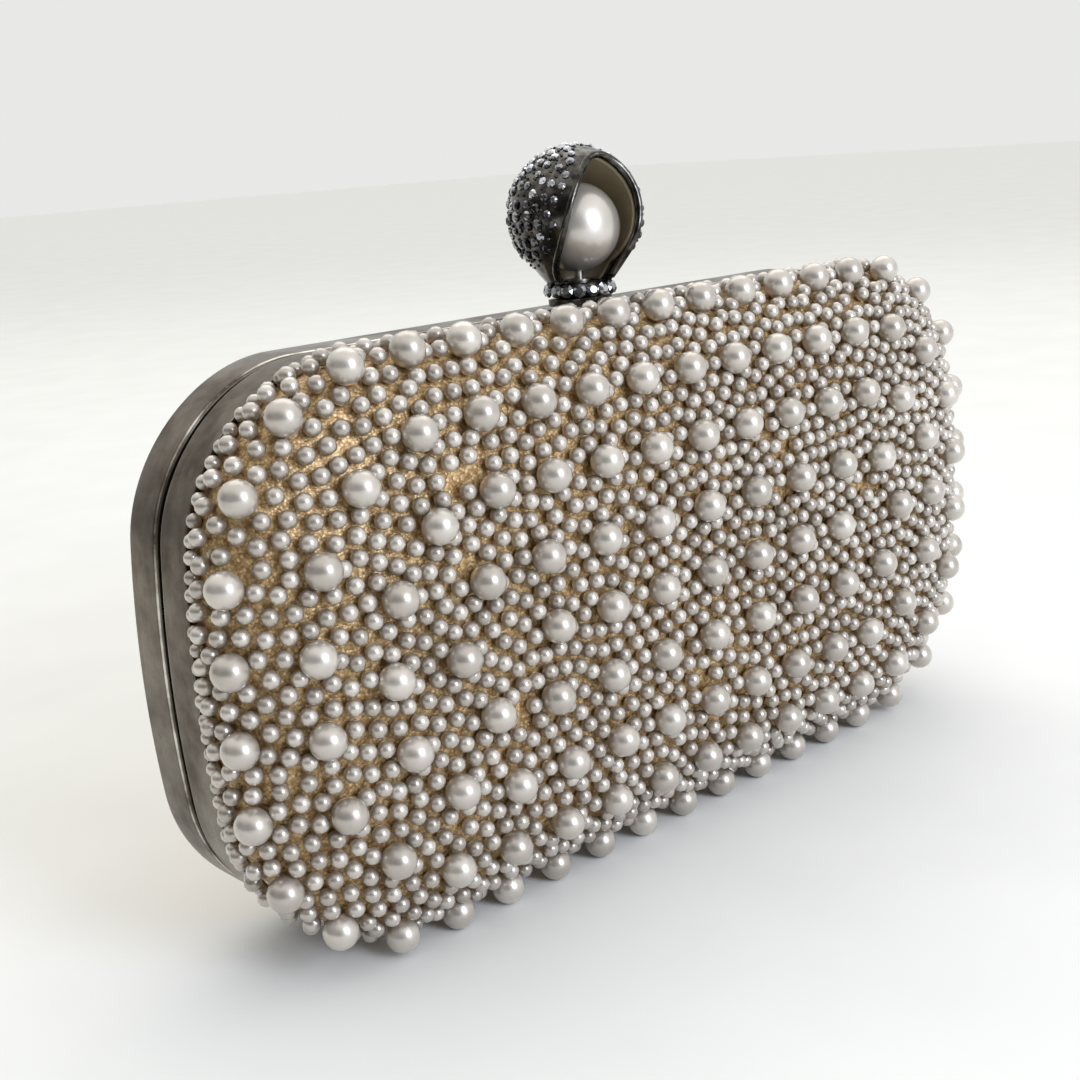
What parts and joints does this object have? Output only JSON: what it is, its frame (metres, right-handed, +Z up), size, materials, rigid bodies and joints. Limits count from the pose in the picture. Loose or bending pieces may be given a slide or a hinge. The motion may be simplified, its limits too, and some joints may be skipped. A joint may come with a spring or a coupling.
{
  "type": "beaded box clutch evening bag",
  "caption": "Rigid box clutch with a deep beaded front and a shallow plain back in flat metal frames, hinged below, and a press catch that carries a hollow clasp with a pearl.",
  "frame": {"origin": "centre of the bag's bounding box, at the level of its lowest pearls", "axes": "+X along the bag's length, +Z up; the front, with the clasp's opening, faces -Y"},
  "size_m": [0.199, 0.0483, 0.1295],
  "materials": {
    "frame_nickel": "aged brushed nickel plate",
    "moulded_shell": "moulded ABS, hidden",
    "glitter_fabric": "champagne metallic glitter cloth",
    "satin_lining": "satin over board",
    "latch_steel": "plated steel",
    "gunmetal": "polished gunmetal plate",
    "cream_enamel": "cream enamel",
    "crystal": "clear foiled crystal",
    "pearl": "ivory imitation pearl"
  },
  "bodies": {
    "back_half": {"back_frame": "frame_nickel", "back_shell": "moulded_shell", "back_fabric": "glitter_fabric", "back_lining": "satin_lining", "left_hinge_back_leaf": "latch_steel", "left_hinge_pin": "latch_steel", "right_hinge_back_leaf": "latch_steel", "right_hinge_pin": "latch_steel", "back_hinge_screws": "latch_steel", "latch_housing": "latch_steel", "latch_housing_screws": "latch_steel", "latch_pivot_pin": "latch_steel", "latch_spring": "latch_steel"},
    "front_half": {"front_frame": "frame_nickel", "front_shell": "moulded_shell", "front_fabric": "glitter_fabric", "front_lining": "satin_lining", "left_hinge_front_leaf": "latch_steel", "right_hinge_front_leaf": "latch_steel", "front_hinge_screws": "latch_steel", "keeper_plate": "latch_steel", "keeper_screws": "latch_steel", "base_pearls": "pearl", "ring_1_pearls": "pearl", "ring_2_pearls": "pearl", "ring_3_pearls": "pearl", "ring_4_pearls": "pearl", "row_pearls": "pearl"},
    "latch": {"latch_rocker": "latch_steel", "clasp_foot": "gunmetal", "clasp_collar": "gunmetal", "collar_crystals": "crystal", "clasp_cage": "gunmetal", "cage_enamel": "cream_enamel", "cage_crystals": "crystal", "clasp_pearl": "pearl", "pearl_peg": "latch_steel"}
  },
  "joints": [
    {"name": "main_hinge", "type": "hinge", "parent": "back_half", "child": "front_half", "pos_m": [0, 0.00918, 0.00357], "axis": [1, 0, 0], "range_deg": [0, 80]},
    {"name": "latch_press", "type": "hinge", "parent": "back_half", "child": "latch", "pos_m": [0, 0.01337, 0.09377], "axis": [-1, 0, 0], "range_deg": [0, 6], "stiffness_Nm_per_rad": 0.3, "springref_deg": -5.73, "deforming": ["latch_spring"]}
  ]
}
